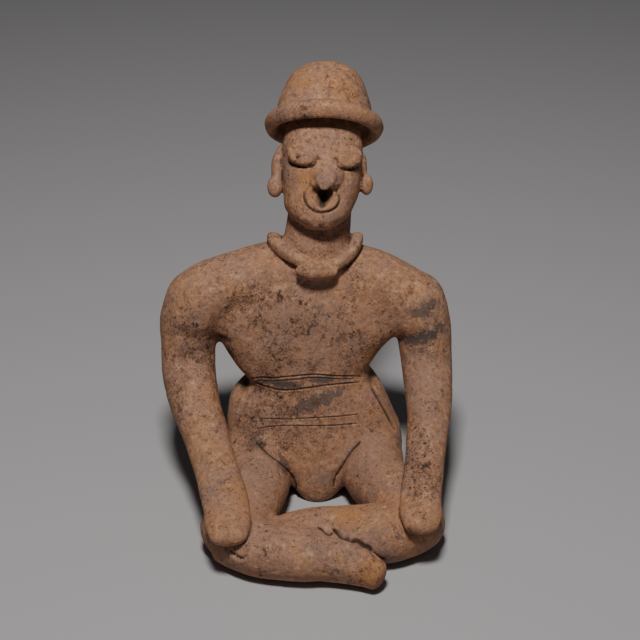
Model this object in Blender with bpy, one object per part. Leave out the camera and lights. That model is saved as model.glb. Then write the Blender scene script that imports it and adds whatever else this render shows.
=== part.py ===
"""Seated ceramic figure: cross-legged, hands on knees, in a round brimmed hat.

The figure faces -Y and sits on z = 0. It is one fired piece, built as solid.
"""
import math

import bmesh
import bpy
from mathutils import Matrix, Vector

for thing in list(bpy.data.objects):
    bpy.data.objects.remove(thing, do_unlink=True)

# Height that the pose is laid out by: its points are in units of a 375th of it
FIGURE_HEIGHT = 0.375
UNIT = FIGURE_HEIGHT / 375.0

# Leans, in degrees back from upright
TORSO_LEAN = 14.0
HEAD_TILT = 28.0
HAT_TILT = 43.0
HAT_ROLL = 2.0

# Where the head and the hat sit, in units
HEAD_PLACE = (2.0, 50.0, 245.0)
HAT_PLACE = (3.5, 90.0, 309.0)

# Trunk
WAIST_HALF_WIDTH = 0.055
CHEST_HALF_WIDTH = 0.080
TRUNK_HALF_DEPTH = 0.036
NECK_HALF_WIDTH = 0.0295
SHOULDER_RADIUS = 0.028

# Limbs
ARM_HALF_WIDTH = 0.0255
HAND_HALF_WIDTH = 0.021
HAND_HALF_DEPTH = 0.011
LEG_HALF_WIDTH = 0.026
THIGH_HALF_WIDTH = 0.031

# Head
HEAD_HALF_WIDTH = 0.035
HEAD_HALF_DEPTH = 0.033
EYE_HALF_WIDTH = 0.014
EYE_HALF_HEIGHT = 0.011
EYE_RELIEF = 0.0054
NOSE_HALF_WIDTH = 0.010
NOSE_RELIEF = 0.016
LIP_RADIUS = 0.004
EAR_PENDANT_RADIUS = 0.007

# Hat
BRIM_RADIUS = 0.053
BRIM_HALF_THICKNESS = 0.0065
CROWN_RADIUS = 0.0414
CROWN_HEIGHT = 0.0635

# Collar
COLLAR_TUBE = 0.0054
PENDANT_HALF_WIDTH = 0.019

# How fine the clay surface is worked
BLEND_GRID = 0.0026
BLEND_PASSES = 12
LEG_GRID = 0.0022
LEG_PASSES = 5
FINISH_GRID = 0.0016
FINISH_PASSES = 1
TRIANGLE_BUDGET = 9400
RING_SIDES = 32
SPAN_STEPS = 5
CAP_STEPS = 5

X_AXIS = Vector((1.0, 0.0, 0.0))
Y_AXIS = Vector((0.0, 1.0, 0.0))
Z_AXIS = Vector((0.0, 0.0, 1.0))


def units(*sizes):
    """Sizes in metres, in the units of the pose."""
    shares = [size / UNIT for size in sizes]
    return shares[0] if len(shares) == 1 else shares


def mixed(a, b, c, d, t):
    """One value of a smooth curve from b to c, a and d being its neighbours."""
    rise = 0.5 * (c - a)
    fall = 0.5 * (d - b)
    bend = 2.0 * (b - c) + rise + fall
    return b + t * (rise + t * (3.0 * (c - b) - 2.0 * rise - fall + t * bend))


def smoothed(stations, steps=SPAN_STEPS):
    """The stations with smooth in-between ones added."""
    rows = []
    last = len(stations) - 1
    for i in range(last):
        before = stations[max(i - 1, 0)]
        after = stations[min(i + 2, last)]
        for step in range(steps):
            t = step / steps
            rows.append([mixed(*four, t) for four in zip(before, stations[i], stations[i + 1], after)])
    rows.append(list(stations[last]))
    return rows


def ring_points(centre, side, front, half_side, half_front, power):
    """Points of a rounded section round the centre."""
    points = []
    for k in range(RING_SIDES):
        angle = 2.0 * math.pi * k / RING_SIDES
        c, s = math.cos(angle), math.sin(angle)
        across = math.copysign(abs(c) ** (2.0 / power), c) * half_side
        along = math.copysign(abs(s) ** (2.0 / power), s) * half_front
        points.append(centre + side * across + front * along)
    return points


def add_skin(mesh, rings, start, end):
    """A closed skin through rings of points, with a pole at each end."""
    loops = [[mesh.verts.new(p) for p in ring] for ring in rings]
    poles = [mesh.verts.new(start), mesh.verts.new(end)]
    for low, high in zip(loops, loops[1:]):
        for k in range(len(low)):
            n = (k + 1) % len(low)
            mesh.faces.new((low[k], low[n], high[n], high[k]))
    for k in range(len(loops[0])):
        n = (k + 1) % len(loops[0])
        mesh.faces.new((poles[0], loops[0][n], loops[0][k]))
        mesh.faces.new((poles[1], loops[-1][k], loops[-1][n]))


def add_limb(mesh, stations, wide=X_AXIS, place=Matrix(), power=2.0, roundness=1.0, level=False):
    """A limb through stations (x, y, z, half width, half depth), round at both ends.

    Its sections stand square to its path, or lie level in its own frame.
    """
    rows = smoothed(stations)
    centres = [place @ Vector(row[:3]) for row in rows]
    wide = (place.to_3x3() @ wide).normalized()
    rings = []
    ends = []
    for i, row in enumerate(rows):
        ahead = (centres[min(i + 1, len(rows) - 1)] - centres[max(i - 1, 0)]).normalized()
        if level:
            ahead = (place.to_3x3() @ Z_AXIS).normalized()
        side = (wide - ahead * wide.dot(ahead)).normalized()
        front = ahead.cross(side)
        half_side, half_front = row[3], row[4]
        cap = []
        if i in (0, len(rows) - 1):
            out = -ahead if i == 0 else ahead
            reach = min(half_side, half_front) * roundness
            for k in range(1, CAP_STEPS):
                a = 0.5 * math.pi * k / CAP_STEPS
                cap.append(ring_points(centres[i] + out * reach * math.sin(a), side, front,
                                       half_side * math.cos(a), half_front * math.cos(a), power))
            ends.append(centres[i] + out * reach)
        body = ring_points(centres[i], side, front, half_side, half_front, power)
        rings += (cap[::-1] + [body]) if i == 0 else ([body] + cap)
    add_skin(mesh, rings, ends[0], ends[1])


def add_turned(mesh, profile, place, sides=64):
    """A shape turned round its own upright axis; profile runs (radius, height) pole to pole."""
    rows = smoothed(profile)
    rings = []
    for radius, height in rows[1:-1]:
        turn = [2.0 * math.pi * k / sides for k in range(sides)]
        rings.append([place @ Vector((radius * math.cos(a), radius * math.sin(a), height)) for a in turn])
    bottom, top = rows[0][1], rows[-1][1]
    add_skin(mesh, rings, place @ Vector((0.0, 0.0, bottom)), place @ Vector((0.0, 0.0, top)))


def add_pellet(mesh, centre, halves, place=Matrix(), roll=0.0, nod=0.0):
    """A rounded pellet of clay, turned in the plane of the face by roll and tipped by nod, in degrees."""
    turn = Matrix.Rotation(math.radians(roll), 4, 'Y') @ Matrix.Rotation(math.radians(nod), 4, 'X')
    shape = place @ Matrix.Translation(centre) @ turn @ Matrix.Diagonal((*halves, 1.0))
    bmesh.ops.create_uvsphere(
        mesh, u_segments=RING_SIDES, v_segments=RING_SIDES // 2, radius=1.0, matrix=shape)


def leaning(x, y, z, degrees):
    """A frame at a point, leaning back by an angle."""
    return Matrix.Translation((x, y, z)) @ Matrix.Rotation(math.radians(-degrees), 4, 'X')


def as_object(name, mesh):
    """The built shape, in metres, as an object of the scene."""
    bmesh.ops.scale(mesh, vec=(UNIT, UNIT, UNIT), verts=mesh.verts)
    bmesh.ops.recalc_face_normals(mesh, faces=mesh.faces)
    data = bpy.data.meshes.new(name)
    mesh.to_mesh(data)
    mesh.free()
    thing = bpy.data.objects.new(name, data)
    bpy.context.scene.collection.objects.link(thing)
    return thing


def settle(thing):
    """Work an object's modifiers into its own mesh."""
    graph = bpy.context.evaluated_depsgraph_get()
    finished = bpy.data.meshes.new_from_object(thing.evaluated_get(graph))
    thing.modifiers.clear()
    thing.data = finished


def knead(thing, grid, passes):
    """Join the overlapping shapes of an object into one skin and smooth the joins."""
    remesh = thing.modifiers.new("join", 'REMESH')
    remesh.mode = 'VOXEL'
    remesh.voxel_size = grid
    smooth = thing.modifiers.new("smooth", 'SMOOTH')
    smooth.factor = 0.5
    smooth.iterations = passes
    settle(thing)


# Pose of the trunk: height above the floor, middle, half width, half depth
def trunk_row(height, middle, half_width, half_depth):
    """One section of the leaning trunk."""
    back = -3.0 + height * math.tan(math.radians(TORSO_LEAN))
    return (middle, back, height, half_width, half_depth)


def add_trunk(mesh):
    """Pelvis, belly, waist and chest as one leaning form."""
    w, c, d = units(WAIST_HALF_WIDTH, CHEST_HALF_WIDTH, TRUNK_HALF_DEPTH)
    add_limb(mesh, (
        trunk_row(2.0, -2.0, 0.36 * w, 1.10 * d),
        trunk_row(12.0, -2.0, 0.55 * w, 1.20 * d),
        trunk_row(24.0, -2.0, 0.80 * w, 1.19 * d),
        trunk_row(35.0, -3.0, 1.20 * w, 1.16 * d),
        trunk_row(46.0, -4.0, 1.45 * w, 1.12 * d),
        trunk_row(60.0, -8.0, 1.42 * w, 1.06 * d),
        trunk_row(70.0, -9.5, 1.37 * w, 1.02 * d),
        trunk_row(80.0, -10.5, 1.31 * w, 1.0 * d),
        trunk_row(91.0, -9.0, 1.17 * w, 0.98 * d),
        trunk_row(98.5, -7.0, 1.03 * w, 0.96 * d),
        trunk_row(108.0, -14.5, 0.72 * c, 0.95 * d),
        trunk_row(117.0, -15.5, 0.80 * c, 0.98 * d),
        trunk_row(127.0, -15.5, 0.88 * c, 1.0 * d),
        trunk_row(138.0, -14.0, 0.98 * c, 1.02 * d),
        trunk_row(152.0, -12.0, 1.12 * c, 1.0 * d),
        trunk_row(170.0, -10.0, 1.14 * c, 0.97 * d),
        trunk_row(186.0, -8.0, 0.98 * c, 0.92 * d),
        trunk_row(200.0, -5.0, 0.66 * c, 0.85 * d),
    ), power=2.5, roundness=0.5, level=True)


def add_seat(mesh):
    """The buttocks, which carry the trunk behind the thighs."""
    t = units(THIGH_HALF_WIDTH)
    add_limb(mesh, (
        (-50.0, 15.0, 38.0, 1.05 * t, 1.05 * t), (-26.0, 20.0, 35.0, 1.18 * t, 1.16 * t),
        (-5.0, 19.0, 36.0, 1.12 * t, 1.16 * t), (16.0, 20.0, 35.0, 1.18 * t, 1.16 * t),
        (38.0, 15.0, 38.0, 1.05 * t, 1.05 * t),
    ), wide=Y_AXIS)


def add_shoulders(mesh):
    """The rounded yoke from one shoulder to the other."""
    r = units(SHOULDER_RADIUS)
    add_limb(mesh, (
        (-113.0, 29.0, 162.0, 0.97 * r, 0.97 * r),
        (-109.0, 32.0, 171.0, r, r),
        (-96.0, 36.0, 180.0, r, r),
        (-69.0, 41.0, 186.0, 1.02 * r, 1.02 * r),
        (-40.0, 45.0, 193.0, 1.04 * r, 1.04 * r),
        (-5.0, 47.0, 194.0, 1.04 * r, 1.04 * r),
        (37.0, 44.0, 188.0, 1.04 * r, 1.04 * r),
        (65.0, 39.0, 178.0, 1.02 * r, 1.02 * r),
        (80.0, 35.0, 169.0, r, r),
        (87.0, 31.0, 160.0, 0.97 * r, 0.97 * r),
    ), wide=Y_AXIS)


def arm_stations(path, slimness):
    """Stations of an arm from shoulder to finger tips."""
    arm, hand, flat = units(ARM_HALF_WIDTH, HAND_HALF_WIDTH, HAND_HALF_DEPTH)
    shares = (1.10, 1.06, 1.03, 1.0, 1.0, 0.97, 0.91, 0.85)
    halves = [(share * arm, 0.96 * share * arm) for share in shares]
    halves += [(0.98 * hand, 1.6 * flat), (0.97 * hand, 1.45 * flat)]
    halves += [(hand, 1.28 * flat), (hand, 1.1 * flat)]
    halves += [(0.98 * hand, 0.95 * flat), (0.82 * hand, 0.82 * flat)]
    rows = []
    for i, (point, half) in enumerate(zip(path, halves)):
        slim = 1.0 + (slimness - 1.0) * min(1.0, i / 6.0)
        rows.append((*point, half[0] * slim, half[1] * slim))
    return rows


LEFT_ARM = (
    (-111.0, 32.0, 172.0), (-116.5, 30.0, 157.0), (-119.0, 28.0, 143.0), (-119.0, 21.0, 125.0),
    (-118.5, 12.0, 110.0), (-115.0, -3.0, 98.0), (-110.0, -19.0, 87.0), (-103.0, -37.0, 78.0),
    (-96.5, -58.0, 71.0), (-90.0, -78.0, 64.0), (-84.0, -99.0, 58.0), (-79.5, -118.0, 53.0),
    (-78.0, -135.0, 48.5), (-77.0, -146.0, 45.5),
)
RIGHT_ARM = (
    (84.0, 33.0, 171.0), (90.0, 30.0, 157.0), (94.0, 28.0, 143.0), (95.5, 21.0, 125.0),
    (97.0, 12.0, 110.0), (97.5, -3.0, 98.0), (97.5, -19.0, 87.0), (95.5, -37.0, 78.0),
    (93.0, -58.0, 71.0), (90.5, -78.0, 64.0), (87.5, -97.0, 58.5), (86.3, -112.0, 54.0),
    (86.0, -124.0, 50.5), (86.0, -134.0, 47.5),
)
LEFT_SLIMNESS = 0.95
RIGHT_SLIMNESS = 0.86
ARMS = ((LEFT_ARM, LEFT_SLIMNESS), (RIGHT_ARM, RIGHT_SLIMNESS))
ELBOW = 5


def add_thighs(mesh):
    """Both thighs, from the hips beside the waist down to the knees."""
    t = units(THIGH_HALF_WIDTH)
    add_limb(mesh, (
        (-57.0, 8.0, 38.0, 1.0 * t, 0.95 * t), (-56.0, -18.0, 32.0, t, 0.92 * t),
        (-57.0, -46.0, 28.0, t, 0.88 * t), (-66.0, -80.0, 26.5, 0.98 * t, 0.86 * t),
        (-75.5, -111.0, 25.0, 0.93 * t, 0.84 * t),
    ))
    add_limb(mesh, (
        (45.0, 8.0, 38.0, t, 0.95 * t), (45.5, -16.0, 32.0, 0.98 * t, 0.92 * t),
        (51.5, -42.0, 28.0, 0.92 * t, 0.88 * t), (71.0, -74.0, 26.5, 0.84 * t, 0.86 * t),
        (80.0, -98.0, 25.0, 0.9 * t, 0.84 * t),
    ))


def add_shins(mesh):
    """The crossed shins: one behind, the other in front of it with the foot at its end."""
    r = units(LEG_HALF_WIDTH)
    add_limb(mesh, (
        (83.0, -102.0, 25.0, r, r), (69.0, -111.0, 24.0, 1.04 * r, 0.98 * r),
        (52.0, -114.5, 23.5, 1.1 * r, 0.97 * r), (26.0, -113.5, 22.5, 1.0 * r, 0.92 * r),
        (0.0, -112.0, 22.0, 0.9 * r, 0.86 * r),
        (-20.0, -114.0, 21.0, 0.87 * r, 0.82 * r), (-40.0, -115.0, 17.0, 0.72 * r, 0.68 * r),
    ), wide=Y_AXIS)
    add_limb(mesh, (
        (-75.0, -118.5, 24.0, r, r), (-58.0, -129.5, 22.0, r, 0.92 * r),
        (-43.0, -137.0, 22.0, 0.96 * r, 0.9 * r), (-17.0, -141.0, 22.0, 0.94 * r, 0.86 * r),
        (3.0, -142.5, 21.5, 0.87 * r, 0.82 * r),
        (24.0, -149.5, 20.0, 0.68 * r, 0.73 * r), (38.0, -156.0, 18.5, 0.54 * r, 0.63 * r),
        (48.5, -162.5, 16.0, 0.43 * r, 0.52 * r),
    ), wide=Y_AXIS, roundness=0.5)
    add_limb(mesh, (
        (-50.0, -124.0, 26.0, 0.6 * r, 0.62 * r), (-20.0, -126.0, 27.0, 0.6 * r, 0.58 * r),
        (2.0, -127.0, 26.0, 0.45 * r, 0.5 * r),
    ), wide=Y_AXIS)


def add_neck(mesh):
    """The neck, from the shoulders up into the head."""
    n = units(NECK_HALF_WIDTH)
    add_limb(mesh, (
        (-5.0, 48.0, 190.0, 1.1 * n, n), (-3.0, 54.0, 220.0, n, 0.94 * n),
        (0.0, 64.0, 243.0, 0.97 * n, 0.80 * n), (2.0, 76.0, 268.0, 0.95 * n, 0.80 * n),
    ))


HEAD = leaning(*HEAD_PLACE, HEAD_TILT)
HAT = leaning(*HAT_PLACE, HAT_TILT) @ Matrix.Rotation(math.radians(HAT_ROLL), 4, 'Y')


def add_head(mesh):
    """Skull and jaw, a long rounded block."""
    w, d = units(HEAD_HALF_WIDTH, HEAD_HALF_DEPTH)
    add_limb(mesh, (
        (-1.5, -10.0, -7.0, 0.42 * w, 0.62 * d), (-2.3, -8.0, -2.0, 0.64 * w, 0.76 * d),
        (-2.5, -5.0, 4.0, 0.79 * w, 0.87 * d), (-2.5, -2.0, 11.0, 0.89 * w, 0.95 * d),
        (-1.0, 0.0, 20.0, 0.95 * w, d), (0.0, 0.0, 34.0, 0.98 * w, d), (0.0, 0.0, 50.0, w, d),
        (0.0, 0.0, 64.0, w, 0.98 * d), (0.0, 2.0, 76.0, 0.94 * w, 0.92 * d),
        (0.0, 4.0, 88.0, 0.8 * w, 0.8 * d),
    ), place=HEAD, power=2.35, roundness=0.3, level=True)


def add_face(mesh):
    """Pellet eyes, beak nose, crescent below it, ears and their pendants."""
    flat = -units(HEAD_HALF_DEPTH)
    w, h, relief = units(EYE_HALF_WIDTH, EYE_HALF_HEIGHT, EYE_RELIEF)
    add_pellet(mesh, (-16.0, flat + 3.2, 55.0), (w, relief, h), HEAD, roll=10.0, nod=-16.0)
    add_pellet(mesh, (23.0, flat + 5.0, 52.5), (0.9 * w, relief, h), HEAD, roll=-10.0, nod=-16.0)
    n, tip = units(NOSE_HALF_WIDTH, NOSE_RELIEF)
    add_limb(mesh, (
        (5.5, flat + 1.0, 50.0, 0.35 * n, 0.3 * n), (4.5, flat - 0.1 * tip, 43.0, 0.65 * n, 0.5 * n),
        (2.8, flat - 0.35 * tip, 35.0, 0.9 * n, 0.75 * n),
        (1.6, flat - 0.62 * tip, 28.5, 0.62 * n, 0.55 * n),
    ), place=HEAD)
    r = units(LIP_RADIUS)
    crescent = (
        (-8.5, 25.0, 0.65), (-10.5, 19.5, 1.2), (-8.0, 13.0, 1.15), (-2.5, 10.0, 0.95),
        (3.0, 10.0, 0.95), (7.5, 13.5, 1.1), (9.5, 18.5, 1.05), (8.8, 23.5, 0.65),
    )
    rows = [(x, flat + 1.0 + 0.012 * x * x, z, 0.9 * r, share * r) for x, z, share in crescent]
    add_limb(mesh, rows, wide=Y_AXIS, place=HEAD)
    p, side = units(EAR_PENDANT_RADIUS, HEAD_HALF_WIDTH)
    add_limb(mesh, (
        (-side - 1.0, 4.0, 61.0, 3.5, 6.0), (-side - 4.0, 3.0, 50.0, 5.4, 9.0),
        (-side - 4.5, 2.0, 34.0, 5.6, 7.0),
    ), place=HEAD)
    add_limb(mesh, (
        (side + 0.5, 4.0, 54.0, 2.6, 6.0), (side + 1.0, 3.0, 46.0, 3.2, 9.0),
        (side + 1.0, 2.0, 37.0, 3.2, 7.0),
    ), place=HEAD)
    add_pellet(mesh, (-side - 6.6, 0.0, 27.5), (0.97 * p, p, 1.38 * p), HEAD)
    add_pellet(mesh, (side + 4.0, 0.0, 29.0), (0.9 * p, p, 1.35 * p), HEAD)


def add_hat(mesh):
    """Round hat: a rolled brim, a hollow under it and a domed crown."""
    b, t, c, h = units(BRIM_RADIUS, BRIM_HALF_THICKNESS, CROWN_RADIUS, CROWN_HEIGHT)
    add_turned(mesh, (
        (0.0, 1.6 * t), (0.5 * c, 1.6 * t), (b - 2.6 * t, 1.3 * t), (b - 1.9 * t, 0.2 * t),
        (b - t, -0.35 * t), (b - 0.3 * t, 0.1 * t), (b, t), (b - 0.5 * t, 1.9 * t),
        (c + 0.3 * t, 2.5 * t), (c, 0.4 * h),
        (0.94 * c, 0.52 * h), (0.84 * c, 0.70 * h), (0.67 * c, 0.86 * h), (0.42 * c, 0.96 * h),
        (0.18 * c, 0.995 * h), (0.0, h),
    ), HAT)


def add_collar(mesh):
    """The collar standing off the neck, its ends sunk in the shoulders, a lump hung at its front."""
    t, lump = units(COLLAR_TUBE, PENDANT_HALF_WIDTH)
    add_limb(mesh, (
        (-30.0, 66.0, 206.0, t, t), (-39.0, 58.0, 219.0, t, t), (-42.0, 47.0, 226.0, t, t),
        (-36.0, 35.0, 224.5, t, t), (-26.0, 25.0, 221.5, t, 1.05 * t), (-13.0, 18.0, 218.0, t, 1.05 * t),
        (0.0, 15.0, 216.5, t, t), (13.0, 17.0, 217.0, t, t), (23.0, 24.0, 220.0, t, t),
        (30.0, 35.0, 223.5, t, t), (33.0, 47.0, 226.0, 0.95 * t, 0.95 * t),
        (31.0, 58.0, 219.0, 0.9 * t, 0.9 * t), (24.0, 66.0, 206.0, 0.9 * t, 0.9 * t),
    ), wide=Z_AXIS)
    add_pellet(mesh, (-3.0, 11.0, 213.0), (lump, 1.3 * t, 1.4 * t))
    add_pellet(mesh, (-3.0, 24.0, 206.0), (1.3 * lump, 1.85 * t, 1.85 * t))


def joined_to(thing, builders, name):
    """A new object of freshly built shapes and of an earlier one, which it takes up."""
    mesh = bmesh.new()
    for build in builders:
        build(mesh)
    fresh = as_object(name, mesh)
    if thing is not None:
        both = bmesh.new()
        both.from_mesh(fresh.data)
        both.from_mesh(thing.data)
        both.to_mesh(fresh.data)
        both.free()
        bpy.data.objects.remove(thing, do_unlink=True)
    return fresh


def add_upper_arms(mesh):
    """Shoulders down to just below the elbows."""
    for path, slimness in ARMS:
        add_limb(mesh, arm_stations(path, slimness)[:ELBOW + 3])


def add_forearms(mesh):
    """Elbows down to the flat hands lying on the knees."""
    for path, slimness in ARMS:
        add_limb(mesh, arm_stations(path, slimness)[ELBOW:])


upper = joined_to(None, (add_trunk, add_seat, add_shoulders, add_upper_arms, add_neck), "upper_body")
knead(upper, BLEND_GRID, BLEND_PASSES)
seated = joined_to(upper, (add_thighs, add_shins), "whole_body")
knead(seated, LEG_GRID, LEG_PASSES)
figure = joined_to(seated, (add_head, add_face, add_hat, add_collar, add_forearms), "seated_figure")
knead(figure, FINISH_GRID, FINISH_PASSES)

thin = figure.modifiers.new("thin", 'DECIMATE')
thin.ratio = TRIANGLE_BUDGET / sum(len(face.vertices) - 2 for face in figure.data.polygons)
settle(figure)

# Ground the figure: everything below the floor is cut off flat
ground_mesh = bmesh.new()
ground_size = units(2.0 * FIGURE_HEIGHT)
sunk = Matrix.Translation((0.0, 0.0, -0.5 * ground_size))
bmesh.ops.create_cube(ground_mesh, size=ground_size, matrix=sunk)
ground = as_object("ground_cutter", ground_mesh)
ground.hide_render = True
ground.display_type = 'WIRE'
cut = figure.modifiers.new("ground", 'BOOLEAN')
cut.operation = 'DIFFERENCE'
cut.solver = 'EXACT'
cut.object = ground
settle(figure)

# Centre the figure over the origin and give it its clay
low = [min(v.co[i] for v in figure.data.vertices) for i in range(3)]
high = [max(v.co[i] for v in figure.data.vertices) for i in range(3)]
centring = Matrix.Translation((-0.5 * (low[0] + high[0]), -0.5 * (low[1] + high[1]), -low[2]))
figure.data.transform(centring)
for face in figure.data.polygons:
    face.use_smooth = True

clay = bpy.data.materials.new("terracotta")
clay.use_nodes = True
shader = clay.node_tree.nodes["Principled BSDF"]
shader.inputs["Base Color"].default_value = (0.36, 0.20, 0.115, 1.0)
shader.inputs["Roughness"].default_value = 0.82
shader.inputs["Metallic"].default_value = 0.0
figure.data.materials.clear()
figure.data.materials.append(clay)
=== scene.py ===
"""Seated clay figure, cross-legged with its hands on its knees, on a pale studio floor."""

import math

import bmesh
import bpy
import numpy as np
from mathutils import Matrix, Vector, noise


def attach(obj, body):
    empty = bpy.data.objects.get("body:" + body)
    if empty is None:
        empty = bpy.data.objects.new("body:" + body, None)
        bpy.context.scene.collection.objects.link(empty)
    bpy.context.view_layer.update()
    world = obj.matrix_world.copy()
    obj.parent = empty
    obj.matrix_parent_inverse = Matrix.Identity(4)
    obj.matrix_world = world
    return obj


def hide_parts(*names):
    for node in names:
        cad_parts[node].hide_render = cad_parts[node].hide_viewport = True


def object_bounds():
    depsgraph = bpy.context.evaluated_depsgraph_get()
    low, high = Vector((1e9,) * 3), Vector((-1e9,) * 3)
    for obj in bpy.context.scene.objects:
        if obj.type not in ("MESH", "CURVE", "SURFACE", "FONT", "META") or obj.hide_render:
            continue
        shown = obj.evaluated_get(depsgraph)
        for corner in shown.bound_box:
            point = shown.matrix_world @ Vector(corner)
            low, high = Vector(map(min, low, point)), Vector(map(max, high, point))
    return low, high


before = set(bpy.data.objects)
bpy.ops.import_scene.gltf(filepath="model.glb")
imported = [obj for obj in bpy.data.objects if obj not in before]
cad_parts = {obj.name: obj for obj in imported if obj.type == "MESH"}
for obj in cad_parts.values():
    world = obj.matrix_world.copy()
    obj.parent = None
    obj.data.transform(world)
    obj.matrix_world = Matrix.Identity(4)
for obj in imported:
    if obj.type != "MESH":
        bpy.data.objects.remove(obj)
cad_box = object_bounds()

# Lengths of the clay forms are in millimetres and angles in degrees
MM = 0.001
# The shift that brings the middle of the figure's plan to the origin
CENTRING = Vector((12.33, 12.20, 0.0))
X_AXIS = Vector((1.0, 0.0, 0.0))
Y_AXIS = Vector((0.0, 1.0, 0.0))
Z_AXIS = Vector((0.0, 0.0, 1.0))

# Leans, back from upright
TORSO_LEAN = 14.0
HEAD_TILT = 28.0
HAT_TILT = 43.0
HAT_ROLL = 2.0

# Body
WAIST_HALF_WIDTH = 55.0
CHEST_HALF_WIDTH = 80.0
TRUNK_HALF_DEPTH = 36.0
NECK_HALF_WIDTH = 29.5
SHOULDER_RADIUS = 28.0
ARM_HALF_WIDTH = 25.5
HAND_HALF_WIDTH = 21.0
HAND_HALF_DEPTH = 11.0
LEG_HALF_WIDTH = 26.0
THIGH_HALF_WIDTH = 31.0

# Head, hat and collar
HEAD_HALF_WIDTH = 35.0
HEAD_HALF_DEPTH = 33.0
EYE_RELIEF = 5.0
EAR_PENDANT_RADIUS = 7.0
BRIM_RADIUS = 53.0
BRIM_HALF_THICKNESS = 6.5
CROWN_RADIUS = 41.4
CROWN_HEIGHT = 63.5
COLLAR_TUBE = 5.4
PENDANT_HALF_WIDTH = 19.0

# How the clay is worked: grid of each joining, in millimetres, and smoothing passes after it
ROUGH_JOIN = (2.6, 12)
LEG_JOIN = (2.2, 5)
FINE_JOIN = (1.15, 4)

# How fine the skin is: triangles in the end, sides of the forms, and steps along them
TRIANGLES = 190000
RING_SIDES = 40
TURN_SIDES = 96
PELLET_SIDES = 48
PELLET_ROWS = 28
SPAN_STEPS = 6
CAP_STEPS = 7

# Lines drawn in the clay: steps between their points, how far they reach in depth,
# and how far beside them the faces are split
STROKE_STEPS = 8
STROKE_DEPTH = 14.0
SPLIT_REACH = 2.4
TAPER = 0.12

# The unevenness of shaping by hand: size across, height and seed
UNEVENNESS = ((34.0, 0.9, 1), (12.0, 0.35, 2))

# Creases get painted shade from the least hollowness on, and the share of it at the most
LEAST_HOLLOW = 0.03
MOST_HOLLOW = 0.15
CREASE_SHADE = 0.75

# How far inside the solid's box the skin stays
BOX_CLEARANCE = 0.01

# The studio, in metres and watts; the lens in pixels of the picture
FLOOR_RADIUS = 9.0
CAMERA_ELEVATION = 31.0
CAMERA_DISTANCE = 1.40
CAMERA_AIM = Vector((0.01233, 0.01220, 0.17))
LENS_PX = 1591.0
IMAGE_PX = 640.0
SENSOR_MM = 36.0
CLIP_END = 50.0
KEY_PLACE = (-0.05, -0.66, 1.75)
KEY_AIM = (0.0, 0.0, 0.12)
KEY_SIZE = 0.26
KEY_WATTS = 29.0
KEY_TINT = (1.0, 0.97, 0.93)
FILL_PLACE = (1.4, -1.6, 1.0)
FILL_AIM = (0.0, 0.0, 0.15)
FILL_SIZE = 1.4
FILL_WATTS = 0.9
ROOM_COLOUR = (0.80, 0.82, 0.86)
ROOM_STRENGTH = 0.045
FLOOR_COLOUR = (0.42, 0.415, 0.43)
FLOOR_ROUGHNESS = 0.9


# Clay forms

def eased(a, b, c, d, t):
    """One value of a smooth curve from b to c, a and d being its neighbours."""
    rise = 0.5 * (c - a)
    fall = 0.5 * (d - b)
    bend = 2.0 * (b - c) + rise + fall
    return b + t * (rise + t * (3.0 * (c - b) - 2.0 * rise - fall + t * bend))


def smoothed(stations, steps=SPAN_STEPS):
    """The stations with smooth in-between ones added."""
    rows = []
    last = len(stations) - 1
    for i in range(last):
        before = stations[max(i - 1, 0)]
        after = stations[min(i + 2, last)]
        for step in range(steps):
            near = zip(before, stations[i], stations[i + 1], after)
            rows.append([eased(*four, step / steps) for four in near])
    rows.append(list(stations[last]))
    return rows


def ring_points(centre, side, front, half_side, half_front, power):
    """Points of a rounded section round the centre."""
    points = []
    for k in range(RING_SIDES):
        angle = 2.0 * math.pi * k / RING_SIDES
        c, s = math.cos(angle), math.sin(angle)
        across = math.copysign(abs(c) ** (2.0 / power), c) * half_side
        along = math.copysign(abs(s) ** (2.0 / power), s) * half_front
        points.append(centre + side * across + front * along)
    return points


def add_skin(mesh, rings, start, end):
    """A closed skin through rings of points, with a pole at each end."""
    loops = [[mesh.verts.new(p) for p in ring] for ring in rings]
    poles = [mesh.verts.new(start), mesh.verts.new(end)]
    for low, high in zip(loops, loops[1:]):
        for k in range(len(low)):
            n = (k + 1) % len(low)
            mesh.faces.new((low[k], low[n], high[n], high[k]))
    for k in range(len(loops[0])):
        n = (k + 1) % len(loops[0])
        mesh.faces.new((poles[0], loops[0][n], loops[0][k]))
        mesh.faces.new((poles[1], loops[-1][k], loops[-1][n]))


def add_limb(mesh, stations, wide=X_AXIS, place=Matrix(), power=2.0, roundness=1.0, level=False):
    """A limb through stations (x, y, z, half width, half depth), round at both ends.

    Its sections stand square to its path, or lie level in its own frame.
    """
    rows = smoothed(stations)
    centres = [place @ Vector(row[:3]) for row in rows]
    wide = (place.to_3x3() @ wide).normalized()
    rings = []
    ends = []
    for i, row in enumerate(rows):
        ahead = (centres[min(i + 1, len(rows) - 1)] - centres[max(i - 1, 0)]).normalized()
        if level:
            ahead = (place.to_3x3() @ Z_AXIS).normalized()
        side = (wide - ahead * wide.dot(ahead)).normalized()
        front = ahead.cross(side)
        half_side, half_front = row[3], row[4]
        cap = []
        if i in (0, len(rows) - 1):
            out = -ahead if i == 0 else ahead
            reach = min(half_side, half_front) * roundness
            for k in range(1, CAP_STEPS):
                a = 0.5 * math.pi * k / CAP_STEPS
                cap.append(ring_points(centres[i] + out * reach * math.sin(a), side, front,
                                       half_side * math.cos(a), half_front * math.cos(a), power))
            ends.append(centres[i] + out * reach)
        body = ring_points(centres[i], side, front, half_side, half_front, power)
        rings += (cap[::-1] + [body]) if i == 0 else ([body] + cap)
    add_skin(mesh, rings, ends[0], ends[1])


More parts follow.
